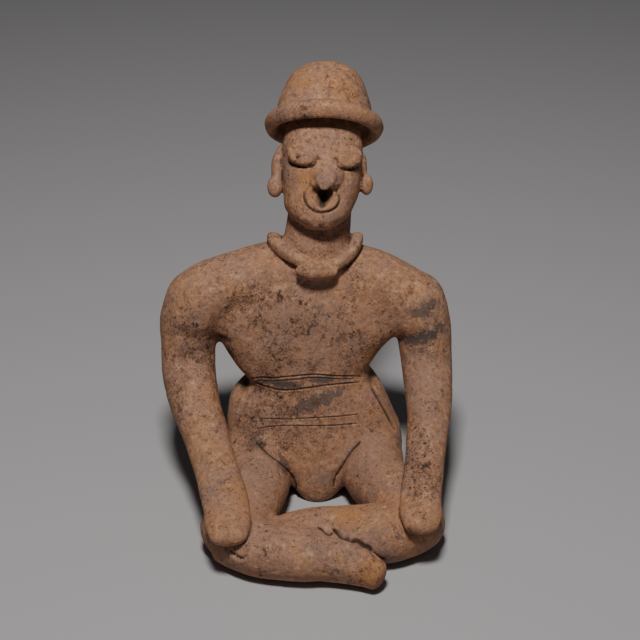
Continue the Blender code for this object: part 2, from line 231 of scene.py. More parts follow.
def add_turned(mesh, profile, place):
    """A shape turned round its own upright axis; profile runs (radius, height) pole to pole."""
    rows = smoothed(profile)
    turn = [2.0 * math.pi * k / TURN_SIDES for k in range(TURN_SIDES)]
    rings = []
    for radius, height in rows[1:-1]:
        ring = [Vector((radius * math.cos(a), radius * math.sin(a), height)) for a in turn]
        rings.append([place @ point for point in ring])
    bottom, top = rows[0][1], rows[-1][1]
    add_skin(mesh, rings, place @ Vector((0.0, 0.0, bottom)), place @ Vector((0.0, 0.0, top)))


def add_pellet(mesh, centre, halves, place=Matrix(), roll=0.0, nod=0.0, sway=0.0, power=2.0):
    """A pellet of clay, rolled in the plane of the face, nodding and swaying out of it.

    A higher power presses its front and back flat.
    """
    turn = Matrix.Rotation(math.radians(sway), 4, 'Z') @ Matrix.Rotation(math.radians(roll), 4, 'Y')
    turn = turn @ Matrix.Rotation(math.radians(nod), 4, 'X')
    shape = place @ Matrix.Translation(centre) @ turn @ Matrix.Diagonal((*halves, 1.0))
    ball = bmesh.ops.create_uvsphere(mesh, u_segments=PELLET_SIDES, v_segments=PELLET_ROWS, radius=1.0)
    for vert in ball["verts"]:
        x, y, z = vert.co
        bulk = (math.hypot(x, z) ** power + abs(y) ** power) ** (1.0 / power)
        vert.co = shape @ (vert.co / bulk)


def leaning(x, y, z, degrees):
    """A frame at a point, leaning back by an angle."""
    return Matrix.Translation((x, y, z)) @ Matrix.Rotation(math.radians(-degrees), 4, 'X')


HEAD = leaning(2.0, 50.0, 245.0, HEAD_TILT)
HAT = leaning(3.5, 90.0, 309.0, HAT_TILT) @ Matrix.Rotation(math.radians(HAT_ROLL), 4, 'Y')


def trunk_row(height, middle, half_width, half_depth):
    """One section of the leaning trunk."""
    back = -3.0 + height * math.tan(math.radians(TORSO_LEAN))
    return (middle, back, height, half_width, half_depth)


def add_trunk(mesh):
    """Pelvis, belly, waist and chest as one leaning form."""
    w, c, d = WAIST_HALF_WIDTH, CHEST_HALF_WIDTH, TRUNK_HALF_DEPTH
    add_limb(mesh, (
        trunk_row(2.0, -2.0, 0.36 * w, 1.10 * d),
        trunk_row(12.0, -2.0, 0.55 * w, 1.20 * d),
        trunk_row(24.0, -2.0, 0.80 * w, 1.19 * d),
        trunk_row(35.0, -3.0, 1.20 * w, 1.16 * d),
        trunk_row(46.0, -4.0, 1.45 * w, 1.12 * d),
        trunk_row(60.0, -8.0, 1.42 * w, 1.06 * d),
        trunk_row(70.0, -9.5, 1.37 * w, 1.02 * d),
        trunk_row(80.0, -10.5, 1.31 * w, 1.0 * d),
        trunk_row(91.0, -9.0, 1.17 * w, 0.98 * d),
        trunk_row(98.5, -7.0, 1.03 * w, 0.96 * d),
        trunk_row(108.0, -14.5, 0.72 * c, 0.95 * d),
        trunk_row(117.0, -15.5, 0.80 * c, 0.98 * d),
        trunk_row(127.0, -15.5, 0.88 * c, 1.0 * d),
        trunk_row(138.0, -14.0, 0.98 * c, 1.02 * d),
        trunk_row(152.0, -12.0, 1.12 * c, 1.0 * d),
        trunk_row(170.0, -10.0, 1.14 * c, 0.97 * d),
        trunk_row(186.0, -8.0, 0.98 * c, 0.92 * d),
        trunk_row(200.0, -5.0, 0.66 * c, 0.85 * d),
    ), power=2.5, roundness=0.5, level=True)


def add_seat(mesh):
    """The buttocks, which carry the trunk behind the thighs."""
    t = THIGH_HALF_WIDTH
    add_limb(mesh, (
        (-50.0, 15.0, 38.0, 1.05 * t, 1.05 * t), (-26.0, 20.0, 35.0, 1.18 * t, 1.16 * t),
        (-5.0, 19.0, 36.0, 1.12 * t, 1.16 * t), (16.0, 20.0, 35.0, 1.18 * t, 1.16 * t),
        (38.0, 15.0, 38.0, 1.05 * t, 1.05 * t),
    ), wide=Y_AXIS)


def add_shoulders(mesh):
    """The rounded yoke from one shoulder to the other."""
    r = SHOULDER_RADIUS
    add_limb(mesh, (
        (-113.0, 29.0, 162.0, 0.97 * r, 0.97 * r),
        (-109.0, 32.0, 171.0, r, r),
        (-96.0, 36.0, 180.0, r, r),
        (-69.0, 41.0, 186.0, 1.02 * r, 1.02 * r),
        (-40.0, 45.0, 193.0, 1.04 * r, 1.04 * r),
        (-5.0, 47.0, 194.0, 1.04 * r, 1.04 * r),
        (37.0, 44.0, 188.0, 1.04 * r, 1.04 * r),
        (65.0, 39.0, 178.0, 1.02 * r, 1.02 * r),
        (80.0, 35.0, 169.0, r, r),
        (87.0, 31.0, 160.0, 0.97 * r, 0.97 * r),
    ), wide=Y_AXIS)


def arm_stations(path, slimness, first, last):
    """Stations of an arm from shoulder to finger tips, cut to a run of them."""
    arm, hand, flat = ARM_HALF_WIDTH, HAND_HALF_WIDTH, HAND_HALF_DEPTH
    shares = (1.10, 1.06, 1.03, 1.0, 1.0, 0.97, 0.91, 0.85)
    halves = [(share * arm, 0.96 * share * arm) for share in shares]
    halves += [(0.98 * hand, 1.6 * flat), (0.97 * hand, 1.45 * flat)]
    halves += [(hand, 1.28 * flat), (hand, 1.1 * flat)]
    halves += [(0.98 * hand, 0.95 * flat), (0.82 * hand, 0.82 * flat)]
    rows = []
    for i, (point, half) in enumerate(zip(path, halves)):
        slim = 1.0 + (slimness - 1.0) * min(1.0, i / 6.0)
        rows.append((*point, half[0] * slim, half[1] * slim))
    return rows[first:last]


LEFT_ARM = (
    (-111.0, 32.0, 172.0), (-116.5, 30.0, 157.0), (-119.0, 28.0, 143.0), (-119.0, 21.0, 125.0),
    (-118.5, 12.0, 110.0), (-115.0, -3.0, 98.0), (-110.0, -19.0, 87.0), (-103.0, -37.0, 78.0),
    (-96.5, -58.0, 71.0), (-90.0, -78.0, 64.0), (-84.0, -99.0, 58.0), (-79.5, -118.0, 53.0),
    (-78.0, -135.0, 48.5), (-77.0, -146.0, 45.5),
)
RIGHT_ARM = (
    (84.0, 33.0, 171.0), (90.0, 30.0, 157.0), (94.0, 28.0, 143.0), (95.5, 21.0, 125.0),
    (97.0, 12.0, 110.0), (97.5, -3.0, 98.0), (97.5, -19.0, 87.0), (95.5, -37.0, 78.0),
    (93.0, -58.0, 71.0), (90.5, -78.0, 64.0), (87.5, -97.0, 58.5), (86.3, -112.0, 54.0),
    (86.0, -124.0, 50.5), (86.0, -134.0, 47.5),
)
LEFT_SLIMNESS = 0.95
RIGHT_SLIMNESS = 0.86


def add_upper_arms(mesh):
    """Shoulders down to just below the elbows."""
    add_limb(mesh, arm_stations(LEFT_ARM, LEFT_SLIMNESS, 0, 8))
    add_limb(mesh, arm_stations(RIGHT_ARM, RIGHT_SLIMNESS, 0, 8))


def add_forearms(mesh):
    """Elbows down to the flat hands lying on the knees."""
    add_limb(mesh, arm_stations(LEFT_ARM, LEFT_SLIMNESS, 5, 14))
    add_limb(mesh, arm_stations(RIGHT_ARM, RIGHT_SLIMNESS, 5, 14))


def add_thighs(mesh):
    """Both thighs, from the hips beside the waist down to the knees."""
    t = THIGH_HALF_WIDTH
    add_limb(mesh, (
        (-57.0, 8.0, 38.0, 1.0 * t, 0.95 * t), (-56.0, -18.0, 32.0, t, 0.92 * t),
        (-57.0, -46.0, 28.0, t, 0.88 * t), (-66.0, -80.0, 26.5, 0.98 * t, 0.86 * t),
        (-75.5, -111.0, 25.0, 0.93 * t, 0.84 * t),
    ))
    add_limb(mesh, (
        (45.0, 8.0, 38.0, t, 0.95 * t), (45.5, -16.0, 32.0, 0.98 * t, 0.92 * t),
        (51.5, -42.0, 28.0, 0.92 * t, 0.88 * t), (71.0, -74.0, 26.5, 0.84 * t, 0.86 * t),
        (80.0, -98.0, 25.0, 0.9 * t, 0.84 * t),
    ))


def add_shins(mesh):
    """The crossed shins: one behind, the other in front of it with the foot at its end."""
    r = LEG_HALF_WIDTH
    add_limb(mesh, (
        (83.0, -102.0, 25.0, r, r), (69.0, -111.0, 24.0, 1.04 * r, 0.98 * r),
        (52.0, -114.5, 23.5, 1.1 * r, 0.97 * r), (26.0, -113.5, 22.5, 1.0 * r, 0.92 * r),
        (0.0, -112.0, 22.0, 0.9 * r, 0.86 * r), (-20.0, -114.0, 21.0, 0.87 * r, 0.82 * r),
        (-40.0, -115.0, 17.0, 0.72 * r, 0.68 * r),
    ), wide=Y_AXIS)
    add_limb(mesh, (
        (-75.0, -118.5, 24.0, r, r), (-58.0, -129.5, 22.0, r, 0.92 * r),
        (-43.0, -137.0, 22.0, 0.96 * r, 0.9 * r), (-17.0, -141.0, 22.0, 0.94 * r, 0.86 * r),
        (3.0, -142.5, 21.5, 0.87 * r, 0.82 * r), (24.0, -149.5, 20.0, 0.68 * r, 0.73 * r),
        (38.0, -156.0, 18.5, 0.54 * r, 0.63 * r), (48.5, -162.5, 16.0, 0.43 * r, 0.52 * r),
    ), wide=Y_AXIS, roundness=0.5)
    add_limb(mesh, (
        (-50.0, -124.0, 26.0, 0.6 * r, 0.62 * r), (-20.0, -126.0, 27.0, 0.6 * r, 0.58 * r),
        (2.0, -127.0, 26.0, 0.45 * r, 0.5 * r),
    ), wide=Y_AXIS)


def add_neck(mesh):
    """The neck, from the shoulders up into the head."""
    n = NECK_HALF_WIDTH
    add_limb(mesh, (
        (-5.0, 48.0, 190.0, 1.1 * n, n), (-3.0, 54.0, 220.0, n, 0.94 * n),
        (0.0, 64.0, 243.0, 0.97 * n, 0.80 * n), (2.0, 76.0, 268.0, 0.95 * n, 0.80 * n),
    ))


def add_head(mesh):
    """Skull and jaw, a long rounded block with a flattened face."""
    w, d = HEAD_HALF_WIDTH, HEAD_HALF_DEPTH
    add_limb(mesh, (
        (-1.5, -10.0, -7.0, 0.42 * w, 0.62 * d), (-2.3, -8.0, -2.0, 0.64 * w, 0.76 * d),
        (-2.5, -5.0, 4.0, 0.79 * w, 0.87 * d), (-2.5, -2.0, 11.0, 0.89 * w, 0.95 * d),
        (-1.0, 0.0, 20.0, 0.95 * w, d), (0.0, 0.0, 34.0, 0.98 * w, d), (0.0, 0.0, 50.0, w, d),
        (0.0, 0.0, 64.0, w, 0.98 * d), (0.0, 2.0, 76.0, 0.94 * w, 0.92 * d),
        (0.0, 4.0, 88.0, 0.8 * w, 0.8 * d),
    ), place=HEAD, power=2.35, roundness=0.3, level=True)


def add_eyes(mesh):
    """Flat oval eyes, their upper sides pressed into the brow, their lower edges free."""
    flat = -HEAD_HALF_DEPTH
    add_pellet(mesh, (-17.5, flat + 3.5, 54.4), (13.4, EYE_RELIEF, 9.8), HEAD,
               roll=12.0, nod=-8.0, sway=-14.0, power=3.4)
    add_pellet(mesh, (23.4, flat + 6.2, 52.6), (11.7, EYE_RELIEF, 10.0), HEAD,
               roll=-14.0, nod=-8.0, sway=25.0, power=3.4)


def add_nose(mesh):
    """Broad soft nose with a short hooked tip."""
    flat = -HEAD_HALF_DEPTH
    add_pellet(mesh, (3.4, flat + 3.0, 36.5), (15.0, 8.6, 15.5), HEAD)
    add_limb(mesh, (
        (4.2, flat + 2.4, 54.0, 4.6, 3.4), (3.8, flat + 0.8, 47.0, 6.2, 4.4),
        (3.2, flat - 1.8, 40.5, 8.2, 5.6), (2.6, flat - 4.2, 34.5, 9.6, 6.4),
        (2.0, flat - 6.6, 29.5, 8.0, 5.6), (1.4, flat - 8.2, 25.6, 4.4, 3.6),
    ), place=HEAD)
    add_pellet(mesh, (-5.6, flat - 1.4, 29.0), (4.8, 5.0, 4.0), HEAD)
    add_pellet(mesh, (9.0, flat - 1.2, 29.0), (4.8, 5.0, 4.0), HEAD)


def add_crescent(mesh):
    """The flat horned crescent under the nose."""
    flat = -HEAD_HALF_DEPTH
    path = (
        (-9.6, 24.6, 2.4), (-11.2, 20.5, 3.6), (-10.6, 15.0, 4.2), (-7.2, 10.4, 3.8), (-1.4, 8.2, 2.8),
        (3.6, 8.8, 3.2), (8.2, 12.0, 4.0), (10.4, 16.4, 4.0), (9.8, 20.6, 2.4),
    )
    rows = [(x, flat + 0.4 + 0.013 * x * x, z, 3.4, half) for x, z, half in path]
    add_limb(mesh, rows, wide=Y_AXIS, place=HEAD, power=3.0)


def add_ears(mesh):
    """Ear flaps with a round pendant under each."""
    p = EAR_PENDANT_RADIUS
    side = HEAD_HALF_WIDTH
    add_limb(mesh, (
        (-side - 1.0, 4.0, 61.0, 3.5, 6.0), (-side - 4.0, 3.0, 50.0, 5.4, 9.0),
        (-side - 4.5, 2.0, 36.0, 5.6, 7.0),
    ), place=HEAD)
    add_limb(mesh, (
        (side + 0.5, 4.0, 54.0, 2.6, 6.0), (side + 1.0, 3.0, 46.0, 3.2, 9.0),
        (side + 1.0, 2.0, 37.0, 3.2, 7.0),
    ), place=HEAD)
    add_pellet(mesh, (-side - 6.6, -1.0, 27.5), (0.97 * p, p, 1.38 * p), HEAD)
    add_pellet(mesh, (side + 4.0, -2.0, 29.0), (0.9 * p, p, 1.35 * p), HEAD)


def add_hat(mesh):
    """Round hat: a rolled brim, a hollow under it and a domed crown."""
    b, t, c, h = BRIM_RADIUS, BRIM_HALF_THICKNESS, CROWN_RADIUS, CROWN_HEIGHT
    add_turned(mesh, (
        (0.0, 1.6 * t), (0.5 * c, 1.6 * t), (b - 2.6 * t, 1.3 * t), (b - 1.9 * t, 0.2 * t),
        (b - t, -0.35 * t), (b - 0.3 * t, 0.1 * t), (b, t), (b - 0.5 * t, 1.9 * t),
        (c + 0.3 * t, 2.5 * t), (c, 0.4 * h), (0.94 * c, 0.52 * h), (0.84 * c, 0.70 * h),
        (0.67 * c, 0.86 * h), (0.42 * c, 0.96 * h), (0.18 * c, 0.995 * h), (0.0, h),
    ), HAT)


def add_collar(mesh):
    """The collar standing off the neck, its ends sunk in the shoulders, a lump hung at its front."""
    t = COLLAR_TUBE
    add_limb(mesh, (
        (-30.0, 66.0, 206.0, t, t), (-39.0, 58.0, 219.0, t, t), (-42.0, 47.0, 226.0, t, t),
        (-36.0, 35.0, 224.5, t, t), (-26.0, 25.0, 221.5, t, 1.05 * t), (-13.0, 18.0, 218.0, t, 1.05 * t),
        (0.0, 15.0, 216.5, t, t), (13.0, 17.0, 217.0, t, t), (23.0, 24.0, 220.0, t, t),
        (30.0, 35.0, 223.5, t, t), (33.0, 47.0, 226.0, 0.95 * t, 0.95 * t),
        (31.0, 58.0, 219.0, 0.9 * t, 0.9 * t), (24.0, 66.0, 206.0, 0.9 * t, 0.9 * t),
    ), wide=Z_AXIS, power=3.2)
    add_pellet(mesh, (-3.0, 11.0, 213.0), (PENDANT_HALF_WIDTH, 7.0, 7.5))
    add_pellet(mesh, (-3.0, 24.0, 206.0), (1.3 * PENDANT_HALF_WIDTH, 10.0, 10.0))


# Working the clay

def new_clay(name, builders, earlier=None):
    """An object of freshly built forms, together with an earlier one, which it takes up."""
    mesh = bmesh.new()
    for build in builders:
        build(mesh)
    bmesh.ops.recalc_face_normals(mesh, faces=mesh.faces)
    if earlier is not None:
        mesh.from_mesh(earlier.data)
        bpy.data.objects.remove(earlier, do_unlink=True)
    data = bpy.data.meshes.new(name)
    mesh.to_mesh(data)
    mesh.free()
    thing = bpy.data.objects.new(name, data)
    bpy.context.scene.collection.objects.link(thing)
    return thing


def settle(thing):
    """Work an object's modifiers into its own mesh."""
    graph = bpy.context.evaluated_depsgraph_get()
    finished = bpy.data.meshes.new_from_object(thing.evaluated_get(graph))
    thing.modifiers.clear()
    thing.data = finished


def knead(thing, join):
    """Join the overlapping forms of an object into one skin and smooth the joins."""
    grid, passes = join
    remesh = thing.modifiers.new("join", 'REMESH')
    remesh.mode = 'VOXEL'
    remesh.voxel_size = grid
    smooth = thing.modifiers.new("smooth", 'SMOOTH')
    smooth.factor = 0.5
    smooth.iterations = passes
    settle(thing)


def round_off(thing):
    """Split each face in four along a smooth surface."""
    finer = thing.modifiers.new("round_off", 'SUBSURF')
    finer.levels = 1
    finer.render_levels = 1
    settle(thing)


class Surface:
    """The points of a clay skin with their outward directions, worked by hand tools."""

    def __init__(self, thing):
        self.thing = thing
        count = len(thing.data.vertices)
        self.points = np.empty(count * 3)
        thing.data.vertices.foreach_get("co", self.points)
        self.points = self.points.reshape(-1, 3)
        self.dirt_and_shade = np.zeros(count)
        self.turn()

    def turn(self):
        """Take the outward directions again from the shape as it is now."""
        self.thing.data.vertices.foreach_set("co", self.points.ravel())
        self.thing.data.update()
        self.out = np.empty(self.points.size)
        self.thing.data.vertices.foreach_get("normal", self.out)
        self.out = self.out.reshape(-1, 3)

    def drawn(self, points):
        """Across, up and towards the front, as one looks at the figure from a little above."""
        lean = math.radians(CAMERA_ELEVATION)
        up = points[:, 2] * math.cos(lean) + points[:, 1] * math.sin(lean)
        near = points[:, 2] * math.sin(lean) - points[:, 1] * math.cos(lean)
        return np.stack((points[:, 0], up), axis=1), near

    def along(self, path, reach):
        """Distance of the front points from a drawn path, and how far along it they are."""
        path = np.array(path, float)
        flat_path, near_path = self.drawn(path)
        flat, near = self.drawn(self.points)
        _, facing = self.drawn(self.out)
        close = np.full(len(flat), reach * 4.0)
        run = np.zeros(len(flat))
        low = flat_path.min(axis=0) - reach
        high = flat_path.max(axis=0) + reach
        inside = np.all((flat > low) & (flat < high), axis=1) & (facing > 0.0)
        inside &= (near > near_path.min() - STROKE_DEPTH) & (near < near_path.max() + STROKE_DEPTH)
        chosen = np.nonzero(inside)[0]
        here = flat[chosen]
        best = np.full(len(chosen), reach * 4.0)
        where = np.zeros(len(chosen))
        total = len(flat_path) - 1
        for i in range(total):
            start, step = flat_path[i], flat_path[i + 1] - flat_path[i]
            t = np.clip(((here - start) @ step) / max(step @ step, 1e-9), 0.0, 1.0)
            gap = np.linalg.norm(here - start - t[:, None] * step, axis=1)
            nearer = gap < best
            best[nearer] = gap[nearer]
            where[nearer] = (i + t[nearer]) / total
        close[chosen] = best
        run[chosen] = where
        return close, run

    def press_line(self, path, depth, width, lip=0.0, dirt_and_shade=1.0, taper=TAPER):
        """Press a line into the clay with a pointed tool, with a lip thrown up beside it, and darken the
        groove with dirt and painted shade.
        """
        gap, run = self.along(smoothed(path, STROKE_STEPS), 5.0 * width)
        # The tool bites more and less along the line, and lifts off at its ends
        pressure = 0.84 + 0.16 * np.sin(29.0 * run) * np.sin(17.0 * run + 1.0)
        ends = pressure * np.clip(np.minimum(run, 1.0 - run) / taper, 0.0, 1.0)
        groove = np.exp(-(gap / width) ** 2) * ends
        ridge = np.exp(-((gap - 2.0 * width) / width) ** 2) * ends
        self.points += self.out * (lip * ridge - depth * groove)[:, None]
        # The groove is darkened: painted shade, with dirt in the incised lines
        self.dirt_and_shade = np.maximum(self.dirt_and_shade, dirt_and_shade * groove)

    def press_spot(self, centre, halves, depth, dirt_and_shade=0.0):
        """Press in, or with a negative depth raise, a soft round place, darkened there by a share of
        painted shade and dirt.
        """
        gap = np.linalg.norm((self.points - np.array(centre)) / np.array(halves), axis=1)
        share = np.exp(-gap ** 2)
        self.points -= self.out * (depth * share)[:, None]
        # The place is darkened by painted shade and dirt
        self.dirt_and_shade = np.maximum(self.dirt_and_shade, dirt_and_shade * share)

    def shave(self, point, outward, most):
        """Shave the clay flat beyond a plane, taking off no more than a thin slice."""
        outward = np.array(outward, float) / np.linalg.norm(outward)
        beyond = (self.points - np.array(point)) @ outward
        cut = np.where((beyond > 0.0) & (beyond < most), beyond, 0.0)
        self.points -= cut[:, None] * outward

    def uneven(self, size, height, seed):
        """The slow unevenness of clay shaped by hand."""
        offset = Vector((seed * 17.3, seed * 5.1, seed * 9.7))
        rise = np.array([noise.noise(Vector(p) / size + offset) for p in self.points])
        self.points += self.out * (height * rise)[:, None]

    def gather_crease_shade(self, least, most, share):
        """Painted shade in the creases, darker where a point lies deeper than the points round it."""
        total = len(self.points)
        ends = np.empty(2 * len(self.thing.data.edges), dtype=np.int64)
        self.thing.data.edges.foreach_get("vertices", ends)
        one, other = ends.reshape(-1, 2).T
        count = np.bincount(one, minlength=total) + np.bincount(other, minlength=total)
        slope = np.zeros(total)
        for here, there in ((one, other), (other, one)):
            step = self.points[there] - self.points[here]
            rise = np.einsum('ij,ij->i', step, self.out[here])
            rise = rise / np.maximum((step ** 2).sum(axis=1), 1e-6)
            slope += np.bincount(here, weights=rise, minlength=total)
        hollow = slope / np.maximum(count, 1)
        for _ in range(2):
            shared = np.bincount(one, weights=hollow[other], minlength=total)
            shared += np.bincount(other, weights=hollow[one], minlength=total)
            hollow = 0.5 * hollow + 0.5 * shared / np.maximum(count, 1)
        dirt_and_shade = share * np.clip((hollow - least) / (most - least), 0.0, 1.0)
        self.dirt_and_shade = np.maximum(self.dirt_and_shade, dirt_and_shade)

    def finish(self):
        """Give the shape and the share of painted shade and dirt back to the object."""
        self.turn()
        layer = self.thing.data.attributes.new("dirt_and_shade", 'FLOAT', 'POINT')
        layer.data.foreach_set("value", self.dirt_and_shade.astype(np.float32))


# Lines on the body, as places on the finished figure
BELT_TOP = (
    (-52, 8, 110), (-40, 7, 113), (-31, 4, 114), (-20, 3, 116), (-7, 3, 117.4), (7, 3, 118.6),
    (25, 4, 116.5), (39, 9, 113), (54, 18, 107),
)
BELT_RIM = (
    (-44, 7, 109.6), (-31, 4, 111.4), (-20, 3, 112.6), (-7, 3, 113.6), (7, 3, 115.6),
    (25, 4, 113.6), (39, 9, 110.6), (52, 18, 105.6),
)
BELT_LOW = (
    (-48, 12, 106), (-40, 7, 104.6), (-33, 5, 103.6), (-24, 2, 103), (-13, 1, 103.6),
    (3, 1, 106), (21, 3, 107.6), (39, 7, 107), (50, 13, 104.6),
)
BELLY_UPPER = (
    (-44, -4, 76), (-28, -6, 77), (-15, -8, 78), (-2, -8, 79), (10, -7, 79), (32, -6, 80), (50, -2, 80),
)
BELLY_LOWER = (
    (-47, -6, 66), (-29, -9, 71), (-11, -10, 72.4), (10, -10, 72), (32, -9, 72.6), (48, -6, 72.4),
)
LEFT_GROIN = (
    (-46, -15, 59), (-39, -24, 57), (-31, -30, 53), (-23, -33, 48), (-16, -32, 39), (-12, -28, 28),
    (-10, -26, 18), (-10, -26, 12),
)
RIGHT_GROIN = (
    (49, -14, 58), (41, -20, 52), (35, -24, 44), (30, -25, 34), (26, -27, 26), (25, -28, 17),
)
RIGHT_HIP = ((59, 21, 100), (61, 15, 94), (66, 12, 85), (72, 10, 74), (77, 9, 64), (82, 7, 55))
CRACK = ((10, -114, 40), (14, -117, 40), (18, -125, 42), (21, -125, 41), (24, -121, 40))
SHIN_CRACK = (
    (23, -117, 40), (27, -120, 39), (30, -125, 39), (35, -125, 37), (40, -127, 36), (45, -127, 35),
    (49, -129, 33), (55, -130, 30), (58, -132, 26), (62, -131, 20), (68, -129, 16),
)
KNEE_SCUFF = ((-68, -133, 17), (-63, -135, 12))
KNEE_SCAR = ((-66, -133, 33), (-60, -138, 29), (-54, -142, 28), (-48, -142, 33))

# Path, depth, width, lip, darkening (dirt and painted shade in the groove) and taper of each stroke, in
# the order they are pressed
BODY_STROKES = (
    (BELT_TOP, 0.8, 0.75, 0.35, 0.32, TAPER),
    (BELT_RIM, 0.4, 0.8, 0.1, 0.35, TAPER),
    (BELT_LOW, 0.8, 0.75, 0.35, 0.38, TAPER),
    (BELLY_UPPER, 0.55, 0.6, 0.2, 0.28, TAPER),
    (BELLY_LOWER, 0.55, 0.6, 0.2, 0.28, TAPER),
    (LEFT_GROIN, 1.8, 2.6, 0.0, 0.25, TAPER),
    (LEFT_GROIN, 1.8, 0.8, 0.0, 1.0, 0.06),
    (RIGHT_GROIN, 1.8, 2.6, 0.0, 0.25, TAPER),
    (RIGHT_GROIN, 1.8, 0.8, 0.0, 1.0, 0.06),
    (RIGHT_HIP, 1.5, 1.3, 0.6, 0.8, 0.2),
    (CRACK, 3.0, 0.8, 0.0, 1.0, 0.2),
    (SHIN_CRACK, 4.0, 1.15, 0.0, 1.0, 0.04),
    (KNEE_SCUFF, 0.9, 1.2, 0.0, 0.3, 0.4),
    (KNEE_SCAR, 1.7, 1.6, 0.6, 0.3, 0.3),
)
# Centre, half sizes, depth and share of painted shade of the pressed places at the waist and under the
# arm
BODY_HOLLOWS = (
    ((-58, 28, 95), (9, 16, 6), 2.5, 0.75),
    ((60, 27, 101), (7, 12, 5), 2.0, 0.65),
    ((-74, 24, 144), (9, 14, 4), 1.0, 0.8),
)


def work_body(skin):
    """Incised belt and belly lines, groins, the crack across the shins and the scar on the knee,
    darkened with dirt and painted shade, and painted shade pressed in at the waist and under the arm.
    """
    for path, depth, width, lip, dirt_and_shade, taper in BODY_STROKES:
        skin.press_line(path, depth, width, lip, dirt_and_shade, taper)
    for centre, halves, depth, dirt_and_shade in BODY_HOLLOWS:
        skin.press_spot(centre, halves, depth, dirt_and_shade)


def on_face(x, y, z):
    """A place on the face, in its own frame, as a place on the finished figure."""
    return tuple(HEAD @ Vector((x, y - HEAD_HALF_DEPTH, z)) + CENTRING)


def refine(thing, lines, reach):
    """Split the faces under drawn lines finer, so that a thin groove keeps its edges."""
    skin = Surface(thing)
    near = np.zeros(len(skin.points), bool)
    for line in lines:
        near |= skin.along(smoothed(line, STROKE_STEPS), reach)[0] < reach
    mesh = bmesh.new()
    mesh.from_mesh(thing.data)
    edges = [edge for edge in mesh.edges if near[edge.verts[0].index] and near[edge.verts[1].index]]
    bmesh.ops.subdivide_edges(mesh, edges=edges, cuts=2, use_grid_fill=True)
    mesh.to_mesh(thing.data)
    mesh.free()


# Lines on the face, in the head's own frame, y being how far behind the flat of the face
UNDER_LEFT_EYE = (
    (-31.5, 7, 53.5), (-29.0, 2, 48.6), (-23.0, -2, 45.0), (-15.5, -4, 43.2), (-8.5, -3, 44.6),
    (-4.0, -1, 48.2),
)
UNDER_RIGHT_EYE = (
    (12.0, -1, 48.0), (15.0, -2, 43.6), (21.0, -2, 41.2), (28.0, 1, 42.8), (33.4, 6, 47.0),
)
CRESCENT_EDGE = (
    (-15.4, 3, 24.0), (-16.2, 3, 17.0), (-12.6, 1, 9.4), (-4.6, 0, 4.4), (4.4, 0, 4.6),
    (11.8, 1, 8.4), (15.4, 3, 15.0), (14.2, 3, 21.6),
)
MOUTH_LINE = ((1.2, 0, 25.0), (0.8, 0, 18.0), (0.2, 0, 12.0))
LEFT_LID = ((-26.0, 0, 53.4), (-17.0, -4, 52.0), (-9.0, -2, 54.0))
RIGHT_LID = ((15.0, -2, 51.6), (22.6, -2, 50.4), (29.0, 2, 52.0))
# Path, depth, width and share of painted shadow under the eyes, round the crescent and on the lids
FACE_STROKES = (
    (UNDER_LEFT_EYE, 1.8, 1.3, 0.55), (UNDER_RIGHT_EYE, 1.8, 1.3, 0.55),
    (CRESCENT_EDGE, 0.9, 1.0, 0.5), (LEFT_LID, 0.35, 0.8, 0.15), (RIGHT_LID, 0.35, 0.8, 0.15),
)
FACE_TAPER = 0.25
# x, z, half width, half height and depth of the hollow under the nose, painted dark as the nose's shadow
MOUTH_HOLLOW = ((1.2, 22.4, 7.2, 4.6, 4.5), (0.8, 18.0, 5.6, 4.2, 4.5), (0.1, 13.6, 3.6, 3.6, 4.0))
# x and z of the small pits, and their half sizes
FACE_PITS = ((4.8, 70.4), (6.4, 67.2), (-12.0, 56.4), (-20.0, 50.4), (24.0, 49.0), (-14.0, 30.0))
PIT_HALVES = (1.2, 1.6, 1.2)
# Centre and half sizes of the raised pip on the nose
NOSE_PIP = (2.6, -10.0, 36.0)
PIP_HALVES = (2.2, 4.0, 2.6)

# The flat shaved on the crown, in the hat's own frame: a point on it, its outward way, its slice
FACET = Vector((-26.0, -22.0, 51.0))
FACET_OUTWARD = Vector((-0.62, -0.35, 0.70))
FACET_SLICE = 3.0

# Lines under which the faces are split
FACE_LINES = tuple(
    tuple(on_face(*point) for point in path)
    for path in (UNDER_LEFT_EYE, UNDER_RIGHT_EYE, MOUTH_LINE, CRESCENT_EDGE))
BODY_LINES = (
    BELT_TOP, BELT_RIM, BELT_LOW, BELLY_UPPER, BELLY_LOWER, LEFT_GROIN, RIGHT_GROIN, RIGHT_HIP,
    CRACK, SHIN_CRACK, KNEE_SCAR,
)


def work_head(skin):
    """Free lower edges of the eyes with painted shadow under them, the hollow under the nose painted
    dark as the nose's shadow, pits of the brow, the shaved crown.
    """
    for path, depth, width, dirt_and_shade in FACE_STROKES:
        placed = [on_face(*point) for point in path]
        skin.press_line(placed, depth, width, dirt_and_shade=dirt_and_shade, taper=FACE_TAPER)
    for x, z, half_width, half_height, depth in MOUTH_HOLLOW:
        skin.press_spot(on_face(x, 0.0, z), (half_width, 12.0, half_height), depth, 1.0)
    for x, z in FACE_PITS:
        skin.press_spot(on_face(x, 0.5 + 0.006 * x * x, z), PIT_HALVES, 0.8, 0.6)
    skin.press_spot(on_face(*NOSE_PIP), PIP_HALVES, -0.9)
    skin.shave(HAT @ FACET + CENTRING, HAT.to_3x3() @ FACET_OUTWARD, FACET_SLICE)


upper = new_clay("upper_body", (add_trunk, add_seat, add_shoulders, add_upper_arms, add_neck))
knead(upper, ROUGH_JOIN)
seated = new_clay("whole_body", (add_thighs, add_shins), upper)
knead(seated, LEG_JOIN)
round_off(seated)
FINE_FORMS = (add_head, add_eyes, add_nose, add_crescent, add_ears, add_hat, add_collar, add_forearms)
figure = new_clay("clay_figure", FINE_FORMS, seated)
knead(figure, FINE_JOIN)
figure.data.transform(Matrix.Translation(CENTRING))

